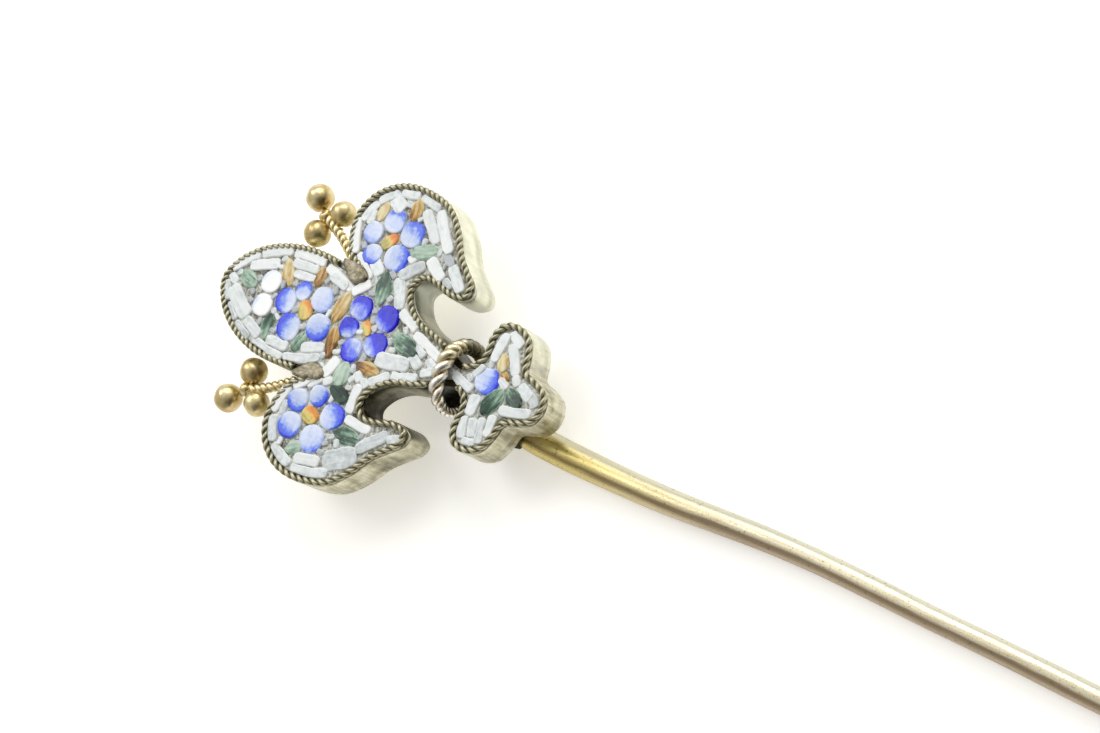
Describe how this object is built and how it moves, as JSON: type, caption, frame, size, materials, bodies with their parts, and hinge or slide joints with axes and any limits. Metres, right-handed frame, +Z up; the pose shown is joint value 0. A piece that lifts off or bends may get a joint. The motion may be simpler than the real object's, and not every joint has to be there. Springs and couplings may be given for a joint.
{
  "type": "hat pin",
  "caption": "Stick-type hat pin with a fleur-de-lis head: a brass case edged in rope wire, set with a flower micro-mosaic, on a tapered, slightly bent stem.",
  "frame": {"origin": "mid length of the pin and mid width of the head, on the surface that the stem lies on", "axes": "+X across the head; +Y along the pin from its point to the tip of the middle petal; +Z up, out of the mosaic face"},
  "size_m": [0.015, 0.086, 0.0043],
  "materials": {
    "case_brass": "pale, antiqued brass with fine brushed marks",
    "rope_wire": "antiqued brass wire, dark in the twists and rubbed bright on the crowns",
    "ball_gold": "polished antique gold, darkened in the joints",
    "stem_gold": "worn gold plate, finely pitted, paler towards the point",
    "solder": "dull, smoothly flowed solder",
    "cement": "matt grey-brown cement grout",
    "blue_glass": "opaque pale and mid blue glass, faintly streaked, ground flush",
    "deep_blue_glass": "opaque deep blue glass, faintly streaked, ground flush",
    "white_glass": "opaque bluish white glass with drawn streaks",
    "orange_glass": "opaque orange and amber glass, mottled",
    "green_glass": "opaque dark and sage green glass with drawn streaks"
  },
  "bodies": {
    "root": {"back_plate": "case_brass", "case_wall": "case_brass", "cement_bed": "cement", "petal_rope": "rope_wire", "right_lobe_rope": "rope_wire", "left_lobe_rope": "rope_wire", "foot_rope": "rope_wire", "neck_ring": "rope_wire", "right_stamen_wire": "rope_wire", "left_stamen_wire": "rope_wire", "right_stamen_ball_outer": "ball_gold", "right_stamen_ball_inner": "ball_gold", "right_stamen_ball_lower": "ball_gold", "left_stamen_ball_outer": "ball_gold", "left_stamen_ball_inner": "ball_gold", "left_stamen_ball_lower": "ball_gold", "pin_stem": "stem_gold", "stem_solder": "solder", "tip_flower_heart": "orange_glass", "right_flower_heart": "orange_glass", "waist_flower_heart": "orange_glass", "left_flower_heart": "orange_glass", "tip_flower_petal_1": "blue_glass", "tip_flower_petal_2": "blue_glass", "tip_flower_petal_3": "blue_glass", "tip_flower_petal_4": "blue_glass", "tip_flower_petal_5": "blue_glass", "right_flower_petal_1": "blue_glass", "right_flower_petal_2": "blue_glass", "right_flower_petal_3": "blue_glass", "right_flower_petal_4": "blue_glass", "right_flower_petal_5": "blue_glass", "left_flower_petal_1": "blue_glass", "left_flower_petal_2": "blue_glass", "left_flower_petal_3": "blue_glass", "left_flower_petal_4": "blue_glass", "left_flower_petal_5": "blue_glass", "foot_petal": "blue_glass", "waist_flower_petal_1": "deep_blue_glass", "waist_flower_petal_2": "deep_blue_glass", "waist_flower_petal_3": "deep_blue_glass", "waist_flower_petal_4": "deep_blue_glass", "waist_flower_petal_5": "deep_blue_glass", "white_disc_1": "white_glass", "white_disc_2": "white_glass", "tip_leaf_1": "green_glass", "tip_leaf_2": "green_glass", "tip_leaf_3": "green_glass", "right_leaf": "green_glass", "waist_leaf_1": "green_glass", "waist_leaf_2": "green_glass", "waist_leaf_3": "green_glass", "waist_leaf_4": "green_glass", "left_leaf_1": "green_glass", "left_leaf_2": "green_glass", "foot_leaf_1": "green_glass", "foot_leaf_2": "green_glass"}
  },
  "joints": []
}
